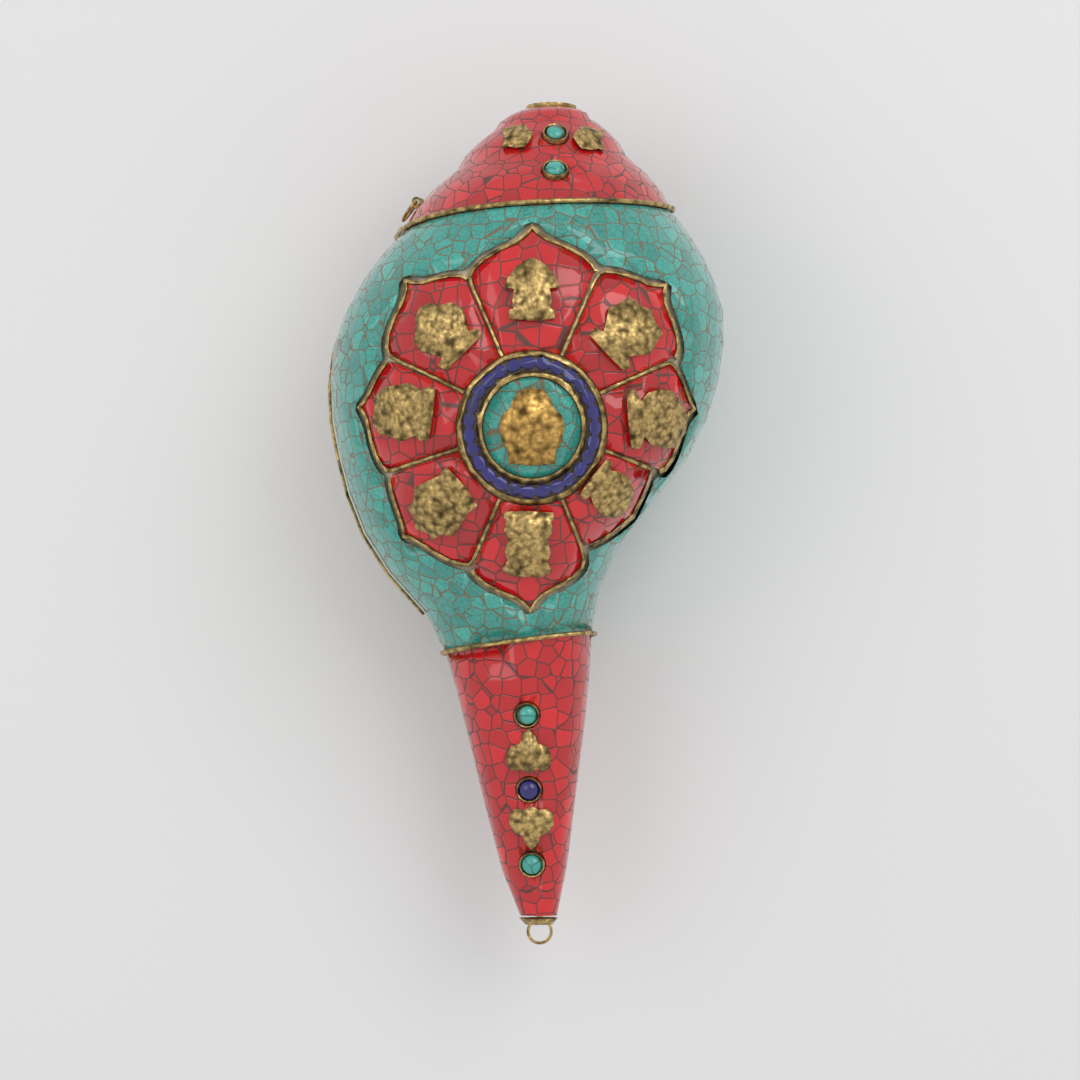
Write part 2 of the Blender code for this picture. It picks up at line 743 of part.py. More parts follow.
def spire_patch():
    """Spire from the body's suture to the apex."""
    places = {"apex": axis_point(APEX_Y - DOME_DROP)}
    for column in range(COLUMNS, LAST_COLUMN + 1):
        for row in range(WHORL_ROWS + 1):
            if row == WHORL_ROWS and column >= 2 * COLUMNS:
                continue
            up = JOINT_GAP if row == WHORL_ROWS else 0.0
            places[(column, row)] = spire_point(column, row, up)

    def named(column, row):
        if row == WHORL_ROWS and column >= 2 * COLUMNS:
            return (column - COLUMNS, 0)
        return (column, row)

    quads = [[named(*corner) for corner in quad]
             for quad in block_quads(range(COLUMNS, LAST_COLUMN), range(WHORL_ROWS))]
    rim = [(column, 0) for column in range(LAST_COLUMN - COLUMNS, LAST_COLUMN + 1)]
    rim += [named(LAST_COLUMN, row) for row in range(1, WHORL_ROWS + 1)]
    quads += [[before, after, "apex"] for before, after in zip(rim, rim[1:])]
    return patch_mesh("spire_patch", places, quads)


def skin(name, patch, material, inward=SKIN_THICKNESS, outward=0.0, lift=0.0):
    """Object that thickens a patch of the outer surface inwards and outwards."""
    item = link(name, patch.copy(), material)
    if lift:
        displace = item.modifiers.new("seat above the skin", "DISPLACE")
        displace.mid_level = 0.0
        displace.strength = lift
    thick = item.modifiers.new("thickness", "SOLIDIFY")
    thick.thickness = inward + outward
    thick.offset = 2 * outward / (inward + outward) - 1
    thick.use_even_offset = True
    thick.use_quality_normals = True
    return item


PRISM_LOW = 41.0 * MM
PRISM_HIGH = 130.0 * MM


def lotus_point(place):
    """Point (x, y) at a direction and distance from the lotus's centre."""
    angle = radians(place.direction)
    return Vector((LOTUS_X + place.distance * sin(angle), LOTUS_Y + place.distance * cos(angle)))


def petal_curve(index):
    """Outer edge of a petal from notch to notch, an ogee with a pointed tip."""
    first = PETAL_NOTCHES[index]
    after = PETAL_NOTCHES[(index + 1) % len(PETAL_NOTCHES)]
    last = Place(after.direction + (360 if after.direction < first.direction else 0), after.distance)
    tip = PETAL_TIPS[index]
    points = []
    for notch, steps in ((first, PETAL_STEPS), (last, tuple(reversed(PETAL_STEPS[:-1])))):
        for step in steps:
            rise = (PETAL_SHOULDER_SHARE * step ** PETAL_SHOULDER_POWER
                    + (1 - PETAL_SHOULDER_SHARE) * step ** PETAL_TIP_POWER)
            points.append(lotus_point(Place(notch.direction + (tip.direction - notch.direction) * step,
                                            notch.distance + (tip.distance - notch.distance) * rise)))
    return [lotus_point(first)] + points + [lotus_point(last)]


def offset_line(points, distance, closed=False):
    """Line moved to the left of its direction by a distance, with short mitres."""
    count = len(points)
    moved = []
    for index, point in enumerate(points):
        before = points[index - 1] if closed or index else None
        after = points[(index + 1) % count] if closed or index < count - 1 else None
        normals = []
        for start, end in ((before, point), (point, after)):
            if start is not None and end is not None:
                along = (end - start).normalized()
                normals.append(Vector((-along.y, along.x)))
        middle = sum(normals, Vector((0.0, 0.0)))
        middle.normalize()
        stretch = min(1 / max(middle.dot(normals[0]), 0.1), 1.8)
        moved.append(point + middle * distance * stretch)
    return moved


def shortened(points, length):
    """Line cut short at its end by a length."""
    points = list(points)
    while (points[-1] - points[-2]).length <= length:
        length -= (points[-1] - points[-2]).length
        points.pop()
    points[-1] = points[-1] + (points[-2] - points[-1]).normalized() * length
    return points


def ring_outline(radius, sides=RING_SIDES):
    """Circle about the lotus's centre."""
    return circle(radius, sides, (LOTUS_X, LOTUS_Y))


def ring_edges():
    """Radii of the medallion's rings, from the disc outwards."""
    inner_wire = DISC_RADIUS + GAP
    beads_in = BEAD_CIRCLE_RADIUS - BEAD_RADIUS
    beads_out = BEAD_CIRCLE_RADIUS + BEAD_RADIUS
    return {
        "inner": (min(inner_wire, beads_in - GAP - INNER_RING_WIDTH), beads_in - GAP),
        "outer": (beads_out + GAP, beads_out + GAP + OUTER_RING_WIDTH),
    }


def petal_outline(index):
    """Closed outline of a petal along the middle of its wires, from the medallion outwards."""
    start = ring_edges()["outer"][1] + GAP
    first = PETAL_NOTCHES[index]
    after = PETAL_NOTCHES[(index + 1) % len(PETAL_NOTCHES)]
    root = [lotus_point(Place(after.direction, start)), lotus_point(Place(first.direction, start))]
    return root + petal_curve(index)


def petal_reach(direction):
    """Distance of the lotus's outer edge from its centre in a direction."""
    for index, tip in enumerate(PETAL_TIPS):
        first = PETAL_NOTCHES[index]
        after = PETAL_NOTCHES[(index + 1) % len(PETAL_NOTCHES)]
        away = (direction - tip.direction + 180) % 360 - 180
        notch = first if away < 0 else after
        span = abs((notch.direction - tip.direction + 180) % 360 - 180)
        if abs(away) <= span:
            step = 1 - abs(away) / span
            rise = (PETAL_SHOULDER_SHARE * step ** PETAL_SHOULDER_POWER
                    + (1 - PETAL_SHOULDER_SHARE) * step ** PETAL_TIP_POWER)
            return notch.distance + (tip.distance - notch.distance) * rise
    return PETAL_NOTCHES[0].distance


def lotus_hole():
    """Outline of the hole in the turquoise skin: the lotus's edge, grown by its wires."""
    margin = PETAL_WIRE_WIDTH / 2 + GAP
    outline = []
    for index in range(LOTUS_HOLE_POINTS):
        direction = 360 * index / LOTUS_HOLE_POINTS
        nearby = [petal_reach(direction + shift * LOTUS_HOLE_SPREAD) for shift in (-1, -0.5, 0, 0.5, 1)]
        outline.append(lotus_point(Place(direction, max(nearby) + margin * LOTUS_HOLE_EASE)))
    return outline


def petal_root_arc(index, radius, steps=4):
    """Points along the medallion's edge under one petal, from its last spoke back to its first."""
    first = PETAL_NOTCHES[index].direction
    last = PETAL_NOTCHES[(index + 1) % len(PETAL_NOTCHES)].direction
    if last < first:
        last += 360
    margin = degrees((PETAL_WIRE_WIDTH / 2 + GAP) / radius)
    span = last - first - 2 * margin
    return [lotus_point(Place(last - margin - span * step / steps, radius)) for step in range(steps + 1)]


def make_petals(patch):
    """Eight tiled petals, each with the brass wire along one spoke and its outer edge."""
    root = ring_edges()["outer"][1] + GAP
    half = PETAL_WIRE_WIDTH / 2
    for index in range(len(PETAL_TIPS)):
        number = index + 1
        edge = shortened(petal_curve(index), PETAL_END_GAP)
        inside = offset_line(edge, -(half + GAP))
        outline = petal_root_arc(index, root) + inside
        petal = skin(f"petal_{number}", patch, "coral")
        cut(petal, prism(f"petal_cutter_{number}", outline, PRISM_LOW, PRISM_HIGH), "INTERSECT")
        path = [lotus_point(Place(PETAL_NOTCHES[index].direction, root))] + petal_curve(index)
        path = shortened(path, WIRE_END_GAP)
        outline = offset_line(path, half) + list(reversed(offset_line(path, -half)))
        wire = skin(f"petal_wire_{number}", patch, "brass", outward=PETAL_WIRE_RISE)
        cut(wire, prism(f"petal_wire_cutter_{number}", outline, PRISM_LOW, PRISM_HIGH), "INTERSECT")


def bead_outlines():
    """Outer and inner edge of the strung beads as two scalloped circles."""
    outer = []
    inner = []
    steps = 4
    for index in range(BEAD_COUNT * steps):
        angle = 2 * pi * index / (BEAD_COUNT * steps)
        phase = (index % steps) / steps
        away = min(phase, 1 - phase) * 2 * pi * BEAD_CIRCLE_RADIUS / BEAD_COUNT
        half = max(sqrt(max(BEAD_RADIUS ** 2 - away ** 2, 0.0)), BEAD_THREAD_RADIUS)
        for edge, radius in ((outer, BEAD_CIRCLE_RADIUS + half), (inner, BEAD_CIRCLE_RADIUS - half)):
            edge.append((LOTUS_X + radius * cos(angle), LOTUS_Y + radius * sin(angle)))
    return outer, inner


def make_medallion(patch):
    """Turquoise disc, twisted wires, strung beads and the seated figure's plaque."""
    edges = ring_edges()
    disc = skin("medallion_disc", patch, "turquoise")
    cut(disc, prism("disc_cutter", ring_outline(edges["inner"][0] - GAP), PRISM_LOW, PRISM_HIGH), "INTERSECT")
    for name in ("inner", "outer"):
        near, far = edges[name]
        wire = skin(f"{name}_ring_wire", patch, "brass", outward=RING_RISE)
        cutter = tube_prism(f"{name}_ring_cutter", ring_outline(far), ring_outline(near), PRISM_LOW, PRISM_HIGH)
        cut(wire, cutter, "INTERSECT")
    beads = skin("lapis_bead_ring", patch, "lapis", outward=BEAD_RISE)
    cut(beads, tube_prism("bead_cutter", *bead_outlines(), PRISM_LOW, PRISM_HIGH), "INTERSECT")
    plaque = skin("seated_figure", patch, "gilt", inward=0.0, outward=FIGURE_RISE, lift=GAP)
    outline = [Vector((LOTUS_X, LOTUS_Y)) + point for point in mirrored(FIGURE_HALF)]
    cut(plaque, prism("figure_cutter", outline, PRISM_LOW, PRISM_HIGH), "INTERSECT")


def half_outline(*points):
    """Right half of a symmetric outline, top to bottom, given in millimetres."""
    return [Vector((x, y)) * MM for x, y in points]


def mirrored(half):
    """Whole outline from its right half; points on the middle line stay single."""
    left = [Vector((-point.x, point.y)) for point in reversed(half) if point.x > 0]
    return half + left


FIGURE_HALF = half_outline((0, 10.8), (3.0, 10.2), (5.4, 7.6), (6.2, 5.2), (8.6, 3.0), (9.3, -0.6), (8.4, -4.4),
                           (6.9, -6.4), (6.7, -10.2), (0, -10.8))
PARASOL_HALF = half_outline((0, 9.2), (1.6, 8.4), (4.4, 6.6), (6.8, 3.4), (7.8, 0.6), (5.0, 0.0), (5.6, -3.2),
                            (5.2, -5.8), (6.6, -6.2), (6.4, -8.6), (0, -9.2))
LOTUS_HALF = half_outline((0, 9.2), (3.2, 7.6), (6.8, 7.2), (7.6, 3.6), (8.6, 0.4), (6.2, -3.2), (4.8, -5.4),
                          (7.4, -6.6), (6.8, -9.0), (0, -9.2))
WHEEL_HALF = half_outline((0, 8.8), (3.4, 8.2), (5.2, 6.6), (7.6, 4.8), (8.0, 1.4), (7.0, -2.6), (4.8, -4.4),
                          (8.2, -6.0), (7.8, -8.6), (0, -8.8))
CONCH_HALF = half_outline((0, 6.6), (2.6, 6.2), (4.8, 5.0), (6.6, 2.0), (6.0, -1.4), (4.6, -3.6), (6.6, -4.6),
                          (6.2, -6.4), (0, -6.6))
BANNER_HALF = half_outline((0, 9.0), (4.6, 8.8), (7.2, 7.4), (5.8, 4.6), (6.6, 2.0), (5.6, -1.4), (7.0, -3.8),
                           (6.4, -6.6), (7.2, -7.2), (7.0, -9.0), (0, -9.2))
KNOT_HALF = half_outline((0, 9.4), (3.4, 7.4), (5.6, 7.6), (6.2, 4.8), (8.8, 2.2), (7.8, -1.8), (6.8, -4.8),
                         (7.0, -8.4), (0, -9.0))
FISH_HALF = half_outline((0, 8.6), (3.6, 8.8), (6.6, 6.4), (7.2, 2.6), (8.2, -0.8), (6.4, -4.4), (7.6, -6.2),
                         (7.0, -8.6), (0, -8.8))
VASE_HALF = half_outline((0, 9.4), (3.0, 8.2), (4.4, 5.8), (7.4, 3.8), (8.4, 0.0), (6.4, -3.6), (5.0, -5.6),
                         (7.6, -6.8), (7.2, -9.2), (0, -9.4))
CANAL_FILIGREE_HALF = half_outline((0, 6.8), (1.8, 5.0), (2.6, 2.6), (5.2, 1.6), (6.6, -0.8), (6.4, -3.6),
                                   (4.6, -5.4), (2.2, -5.0), (0, -6.2))
SPIRE_FILIGREE_HALF = half_outline((0, 4.6), (1.8, 3.8), (3.8, 2.2), (4.0, -0.6), (3.2, -2.8), (3.8, -4.4),
                                   (1.8, -4.2), (0, -3.8))

CASTINGS = (
    ("parasol", PARASOL_HALF),
    ("lotus_flower", LOTUS_HALF),
    ("dharma_wheel", WHEEL_HALF),
    ("conch_symbol", CONCH_HALF),
    ("victory_banner", BANNER_HALF),
    ("endless_knot", KNOT_HALF),
    ("golden_fish", FISH_HALF),
    ("treasure_vase", VASE_HALF),
)


def placed_outline(half, middle, direction):
    """Whole outline with its top turned to a direction, clockwise from +Y, about a middle."""
    rotation = Matrix.Rotation(-radians(direction), 2)
    return [middle + rotation @ point for point in mirrored(half)]


def make_castings(patch):
    """Eight cast symbols, one on each petal, with their bases towards the medallion."""
    for (name, half), place in zip(CASTINGS, CASTING_PLACES):
        casting = skin(name, patch, "brass", inward=0.0, outward=CASTING_RISE, lift=CASTING_LIFT)
        outline = placed_outline(half, lotus_point(place), place.direction)
        cut(casting, prism(f"{name}_cutter", outline, PRISM_LOW, PRISM_HIGH), "INTERSECT")


def dorsal_point(x, y):
    """Point of the outer surface above (x, y), and the surface's normal there."""
    whole = 0
    turns = 0.35
    for _ in range(3):
        whole = sum(1 for k in range(1, 4) if y > suture_y(turns + k - 1))
        for _ in range(30):
            point = shell_point(whole + turns, y)
            turns += (x - point.x) / (2 * pi * max(point.z - axis_point(y).z, 5 * MM))
    step = 0.5 * MM
    along = shell_point(whole + turns, y - step) - shell_point(whole + turns, y + step)
    around = shell_point(whole + turns + 0.004, y) - shell_point(whole + turns - 0.004, y)
    normal = along.cross(around).normalized()
    if normal.z < 0:
        normal.negate()
    return shell_point(whole + turns, y), normal


def surface_frame(x, y):
    """Frame on the back of the shell with Z along the surface's normal."""
    point, normal = dorsal_point(x, y)
    return Matrix.Translation(point) @ normal.to_track_quat("Z", "Y").to_matrix().to_4x4()


def stone_recess(name, x, y):
    """Cutter for the hole that a bezel sits in."""
    radius = BEZEL_RADIUS + GAP
    profile = [(0, 8 * MM), (radius, 8 * MM), (radius, -6 * MM), (0, -6 * MM)]
    return hide_cutter(turned(name, profile, surface_frame(x, y), BEZEL_SIDES))


def make_stone(kind, number, x, y, material):
    """Cabochon in its bezel, let into the skin down to the shell."""
    frame = surface_frame(x, y)
    bore = STONE_RADIUS + GAP
    ring = [(BEZEL_RADIUS, -BEZEL_DEPTH), (BEZEL_RADIUS, BEZEL_RISE * 0.4), (bore + 0.3 * MM, BEZEL_RISE),
            (bore, BEZEL_RISE * 0.8), (bore, -BEZEL_DEPTH)]
    turned(f"{kind}_bezel_{number}", ring, frame, BEZEL_SIDES, "brass")
    dome = [(0, -BEZEL_DEPTH), (STONE_RADIUS, -BEZEL_DEPTH), (STONE_RADIUS, BEZEL_RISE * 0.5),
            (STONE_RADIUS * 0.72, STONE_RISE * 0.8), (0, STONE_RISE)]
    turned(f"{kind}_cabochon_{number}", dome, frame, BEZEL_SIDES, material)


def canal_joint_block(name, shift, upper):
    """Half space above or below the slanting joint between body and canal."""
    reach_far = 150 * MM
    middle = (0.0, CANAL_JOINT_Y + shift)
    low_y, high_y = (middle[1], middle[1] + reach_far) if upper else (middle[1] - reach_far, middle[1])
    return block(name, (-reach_far, low_y, -20 * MM), (reach_far, high_y, 130 * MM),
                 turn=atan2(CANAL_JOINT_SLOPE, 1), pivot=middle)


def make_skins():
    """Turquoise body, red canal and red spire, with their holes."""
    whorl = body_patch(LIP_COLUMNS, COLUMNS)
    body = skin("body_mosaic", whorl, "turquoise")
    cut(body, canal_joint_block("body_limit", GAP / 2, True), "INTERSECT")
    cut(body, prism("lotus_cutter", lotus_hole(), PRISM_LOW, PRISM_HIGH), "DIFFERENCE")
    hole = circle(FOOT_HALF_WIDTH + GAP, FOOT_SIDES, (FOOT_X, FOOT_Y), FOOT_HALF_LENGTH + GAP)
    cut(body, prism("foot_hole_cutter", hole, -5 * MM, 8 * MM), "DIFFERENCE")
    slot = groove_cutter("skin_groove_cutter", GAP)
    cut(body, slot, "DIFFERENCE")
    canal = skin("canal_mosaic", whorl, "coral")
    cut(canal, canal_joint_block("canal_limit", -GAP / 2, False), "INTERSECT")
    cut(canal, slot, "DIFFERENCE")
    for number, (x, y) in enumerate(CANAL_STONES, 1):
        cut(canal, stone_recess(f"canal_recess_{number}", x, y), "DIFFERENCE")
    spire = skin("spire_mosaic", spire_patch(), "coral")
    opening = pin_cutter("spire_opening", axis_point(APEX_Y), Vector((0, 1, 0)),
                         MOUTH_FLANGE_RADIUS + 2 * GAP, SPIRE_OPENING_LENGTH)
    cut(spire, opening, "DIFFERENCE")
    for number, (x, y) in enumerate(SPIRE_STONES, 1):
        cut(spire, stone_recess(f"spire_recess_{number}", x, y), "DIFFERENCE")


def make_wires(vertices):
    """Brass wires along the suture, the canal's joint and the lip."""
    rise = SUTURE_WIRE_RADIUS + GAP
    suture = [even_offset(vertices[grid_key(column, 0)], rise) for column in range(1, COLUMNS)]
    swept_wire("suture_wire", suture, SUTURE_WIRE_RADIUS, WIRE_SIDES, "brass")
    path = []
    steps = 44
    for step in range(steps + 1):
        turns = 0.03 + 0.93 * step / steps
        y = CANAL_JOINT_Y
        for _ in range(12):
            point = shell_point(turns, y)
            y = CANAL_JOINT_Y + CANAL_JOINT_SLOPE * point.x
        outward = (point - axis_point(y)).normalized()
        path.append(point + outward * (CANAL_WIRE_RADIUS + 1.5 * GAP))
    swept_wire("canal_wire", path, CANAL_WIRE_RADIUS, WIRE_SIDES, "brass")
    rise = LIP_WIRE_RADIUS + GAP
    rows = [row for row in range(1, BODY_ROWS)
            if vertices[(LIP_COLUMNS, row)].co.y > CANAL_JOINT_Y + 5 * MM]
    border = [even_offset(vertices[(LIP_COLUMNS, row)], rise) for row in rows]
    swept_wire("lip_wire", border, LIP_WIRE_RADIUS, WIRE_SIDES, "brass")


def make_mouthpiece():
    """Turned brass mouthpiece at the apex."""
    profile = [
        (MOUTH_RIM_RADIUS, 0.0),
        (MOUTH_FLANGE_RADIUS, 0.0),
        (MOUTH_FLANGE_RADIUS, -MOUTH_FLANGE_LENGTH),
        (MOUTH_STEM_RADIUS, -MOUTH_FLANGE_LENGTH),
        (MOUTH_STEM_RADIUS, -MOUTH_LENGTH),
        (MOUTH_THROAT_RADIUS, -MOUTH_LENGTH),
        (MOUTH_THROAT_RADIUS, -MOUTH_CUP_DEPTH),
        (MOUTH_THROAT_RADIUS + (MOUTH_RIM_RADIUS - MOUTH_THROAT_RADIUS) * 0.65, -MOUTH_CUP_DEPTH * 0.55),
    ]
    turned("mouthpiece", profile, mouth_frame(), MOUTH_SIDES, "brass")


def ring_path(centre, first, second, radius):
    """Circle of points about a centre in the plane of two directions."""
    return [centre + (first * cos(2 * pi * k / RING_STEPS) + second * sin(2 * pi * k / RING_STEPS)) * radius
            for k in range(RING_STEPS)]


def place_origin(item, origin):
    """Put an object's origin on its joint without moving its shape."""
    item.data.transform(Matrix.Translation(-origin))
    item.location = origin


def plate(name, outline, direction, middle, thickness, material=None):
    """Flat plate over an outline of points in space, with its thickness along a direction."""
    shift = direction.normalized() * thickness / 2
    loops = [[middle + point - shift for point in outline], [middle + point + shift for point in outline]]
    return closed_loft(name, loops, material)


def pin_cutter(name, middle, direction, radius, length):
    """Round cutter about a middle along a direction."""
    frame = Matrix.Translation(middle) @ direction.to_track_quat("Z", "Y").to_matrix().to_4x4()
    profile = [(0, length / 2), (radius, length / 2), (radius, -length / 2), (0, -length / 2)]
    return hide_cutter(turned(name, profile, frame, EYE_SIDES))


def make_tip():
    """Metal cap on the canal's end, the eye under it, and the strap ring in the eye."""
    start = axis_point(TIP_Y)
    sides = {name: reach(name, TIP_Y) for name in ("left", "right", "top", "bottom")}
    loops = []
    for along, share in ((2 * GAP, 0.97), (CAP_LENGTH * 0.35, CAP_BEAD_SHARE), (CAP_LENGTH * 0.6, 0.93),
                         (CAP_LENGTH + GAP, CAP_END_SHARE)):
        loop = []
        for index in range(CAP_SIDES):
            angle = 2 * pi * index / CAP_SIDES
            across = sides["right" if sin(angle) > 0 else "left"] * share * sin(angle)
            up = sides["top" if cos(angle) > 0 else "bottom"] * share * cos(angle)
            loop.append(Vector((start.x + across, TIP_Y - along, start.z + up)))
        loops.append(loop)
    cap = closed_loft("tip_cap", loops, "brass")
    hole = Vector((start.x, TIP_Y - TAIL_HOLE_BEHIND_TIP, start.z - TAIL_HOLE_BELOW_AXIS))
    arm_top = start.z - sides["bottom"] * 0.5
    arm = [Vector((0, -TAIL_ARM_END, arm_top - hole.z)), Vector((0, TAIL_ARM_START, arm_top - hole.z))]
    turn = [Vector((0, EYE_RADIUS * cos(radians(a)), EYE_RADIUS * sin(radians(a)))) for a in
            (60, 30, 0, -30, -60, -90, -120, -150, -180)]
    eye = hide_cutter(plate("tip_eye", arm + turn, Vector((1, 0, 0)), hole, EYE_THICKNESS))
    cut(cap, eye, "UNION")
    cut(cap, pin_cutter("tip_eye_hole", hole, Vector((1, 0, 0)), EYE_HOLE_RADIUS, 4 * EYE_THICKNESS),
        "DIFFERENCE")
    centre = hole + Vector((0, -RING_RADIUS, 0))
    path = ring_path(centre, Vector((1, 0, 0)), Vector((0, 1, 0)), RING_RADIUS)
    ring = swept_wire("tail_ring", path, RING_WIRE_RADIUS, WIRE_SIDES, "brass", closed=True)
    place_origin(ring, hole)


def make_shoulder():
    """Staple on the spire's left shoulder and the strap ring that hangs in it."""
    seat = shell_point(SHOULDER_TURNS, SHOULDER_Y)
    step = 1.0 * MM
    down = (shell_point(SHOULDER_TURNS, SHOULDER_Y - step) - shell_point(SHOULDER_TURNS, SHOULDER_Y + step))
    down.z = 0
    down.normalize()
    outward = Vector((down.y, -down.x, 0))
    base = GAP
    hole = seat + outward * (base + SHOULDER_HOLE_RISE)
    outline = [down * SHOULDER_BASE_HALF + outward * (base - base - SHOULDER_HOLE_RISE),
               down * -SHOULDER_BASE_HALF + outward * -SHOULDER_HOLE_RISE]
    for angle in (150, 120, 90, 60, 30):
        outline.append((down * cos(radians(angle)) + outward * sin(radians(angle))) * EYE_RADIUS)
    lug = plate("shoulder_lug", outline, Vector((0, 0, 1)), hole, EYE_THICKNESS, "brass")
    cut(lug, pin_cutter("shoulder_hole", hole, Vector((0, 0, 1)), EYE_HOLE_RADIUS, 4 * EYE_THICKNESS),
        "DIFFERENCE")
    lean = radians(SHOULDER_SWING_IN)
    hang = down * cos(lean) - outward * sin(lean)
    path = ring_path(hole + hang * RING_RADIUS, hang, Vector((0, 0, 1)), RING_RADIUS)
    ring = swept_wire("shoulder_ring", path, RING_WIRE_RADIUS, WIRE_SIDES, "brass", closed=True)
    place_origin(ring, hole)


def make_filigrees(canal_patch, spire):
    """Filigree plates between the stones of the canal and beside the spire's upper stone."""
    for kind, patch, places, half in (("canal", canal_patch, CANAL_FILIGREES, CANAL_FILIGREE_HALF),
                                      ("spire", spire, SPIRE_FILIGREES, SPIRE_FILIGREE_HALF)):
        for number, (x, y, direction) in enumerate(places, 1):
            name = f"{kind}_filigree_{number}"
            item = skin(name, patch, "brass", inward=0.0, outward=FILIGREE_RISE, lift=GAP)
            outline = placed_outline(half, Vector((x, y)), direction)
            cut(item, prism(f"{name}_cutter", outline, PRISM_LOW, PRISM_HIGH), "INTERSECT")


def main():
    """Build every piece."""
    for item in list(bpy.data.objects):
        bpy.data.objects.remove(item)
    surface, vertices = full_surface()
    shell_core(surface)
    make_wires(vertices)
    surface.free()
    make_skins()
    back = body_patch(LIP_COLUMNS, COLUMNS * 3 // 5)
    make_petals(back)
    make_medallion(back)
    make_castings(back)
    make_filigrees(back, spire_patch())
    for number, (x, y) in enumerate(CANAL_STONES, 1):
        make_stone("canal", number, x, y, "lapis" if number == 2 else "turquoise")
    for number, (x, y) in enumerate(SPIRE_STONES, 1):
        make_stone("spire", number, x, y, "turquoise")
    make_mouthpiece()
    make_tip()
    make_shoulder()
    for item in bpy.data.objects:
        item.location.x += SIDE_SHIFT


main()
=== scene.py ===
"""Looks of the conch shell trumpet: mosaic of coral and turquoise, brass wires and castings, lapis beads."""

import json
from math import cos, pi, radians, sin

import bpy
from bpy.props import FloatProperty, FloatVectorProperty, PointerProperty
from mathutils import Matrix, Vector


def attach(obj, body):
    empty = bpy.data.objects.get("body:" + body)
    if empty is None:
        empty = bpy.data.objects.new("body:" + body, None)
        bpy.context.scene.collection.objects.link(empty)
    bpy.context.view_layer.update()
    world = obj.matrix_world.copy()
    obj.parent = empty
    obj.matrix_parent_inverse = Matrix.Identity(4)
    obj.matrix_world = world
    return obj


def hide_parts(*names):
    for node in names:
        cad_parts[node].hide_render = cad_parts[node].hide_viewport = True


bl_info = {
    "name": "Conch shell trumpet",
    "version": (1, 0, 0),
    "blender": (4, 5, 0),
    "location": "View3D > Sidebar > Conch",
    "description": "Dresses the packed conch shell trumpet",
    "category": "Object",
}

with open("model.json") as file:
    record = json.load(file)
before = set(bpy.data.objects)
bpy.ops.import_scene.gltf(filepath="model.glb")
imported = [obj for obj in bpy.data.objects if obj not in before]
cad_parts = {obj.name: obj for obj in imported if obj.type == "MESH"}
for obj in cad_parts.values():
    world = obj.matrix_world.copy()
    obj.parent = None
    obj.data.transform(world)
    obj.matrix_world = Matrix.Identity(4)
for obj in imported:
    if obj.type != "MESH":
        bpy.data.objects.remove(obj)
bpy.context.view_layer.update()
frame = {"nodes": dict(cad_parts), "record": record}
SLOT_OF = {entry["node"]: entry["material_slot"] for entry in frame["record"]["subparts"]}
BODY_OF = {node: body for body, nodes in frame["record"]["behaviour"]["bodies"].items() for node in nodes}

CAMERA_TARGET = Vector((0.00445, -0.0046, 0.045))
CAMERA_DISTANCE = 1.0
CAMERA_ELEVATION = radians(86)
FRAME_WIDTH = 0.3214
SENSOR_WIDTH = 36.0
MERGE_DISTANCE = 0.00001
SMOOTH_ANGLE = radians(38)
COAT_WEIGHT = 0.6
COAT_ROUGHNESS = 0.08
TILE_SPREAD = 0.55
PLAIN_STONE = 0.02
CLEAR = (0.0, 0.0, 0.0)
FULL = (1.0, 1.0, 1.0)
FLOOR_SIZE = 6.0
FLOOR_DROP = 0.0005
FLOOR_COLOUR = (0.80, 0.80, 0.80)
ROOM_LIGHT = 0.7
# Each lamp: name, place, width and power in watts.
LAMPS = (("key", (0.45, 0.45, 0.9), 0.7, 3.0), ("fill", (-0.6, 0.1, 0.8), 0.6, 1.2))


class TrumpetLooks(bpy.types.PropertyGroup):
    """Colours and sizes that a user would change."""

    coral: FloatVectorProperty(name="Coral", description="Colour of the red tiles", subtype="COLOR",
                               default=(0.56, 0.008, 0.012))
    turquoise: FloatVectorProperty(name="Turquoise", description="Colour of the blue-green tiles",
                                   subtype="COLOR", default=(0.05, 0.36, 0.30))
    lapis: FloatVectorProperty(name="Lapis", description="Colour of the beads", subtype="COLOR",
                               default=(0.018, 0.014, 0.17))
    brass: FloatVectorProperty(name="Brass", description="Colour of the wires and castings", subtype="COLOR",
                               default=(0.66, 0.46, 0.18))
    gilt: FloatVectorProperty(name="Gilt", description="Colour of the seated figure", subtype="COLOR",
                              default=(0.80, 0.48, 0.14))
    shell: FloatVectorProperty(name="Shell", description="Colour of the bare shell", subtype="COLOR",
                               default=(0.80, 0.68, 0.52))
    tile: FloatProperty(name="Tile", description="Size of a mosaic tile", default=0.0050, min=0.001,
                        unit="LENGTH")


def looks():
    """The user's settings."""
    return bpy.context.scene.trumpet_looks


def new_material(name):
    """New material with its node tree and its shader."""
    material = bpy.data.materials.new(name)
    material.use_nodes = True
    tree = material.node_tree
    return material, tree, tree.nodes["Principled BSDF"]


def add_node(tree, kind, **settings):
    """Node of a kind with some of its settings and inputs filled in."""
    node = tree.nodes.new(kind)
    for name, value in settings.items():
        if hasattr(node, name):
            setattr(node, name, value)
        else:
            node.inputs[name.replace("_", " ").title()].default_value = value
    return node


def ramp(tree, source, low, high, low_colour, high_colour):
    """Colour ramp between two positions."""
    node = tree.nodes.new("ShaderNodeValToRGB")
    node.color_ramp.elements[0].position = low
    node.color_ramp.elements[1].position = high
    node.color_ramp.elements[0].color = (*low_colour, 1)
    node.color_ramp.elements[1].color = (*high_colour, 1)
    tree.links.new(source, node.inputs["Fac"])
    return node.outputs["Color"]


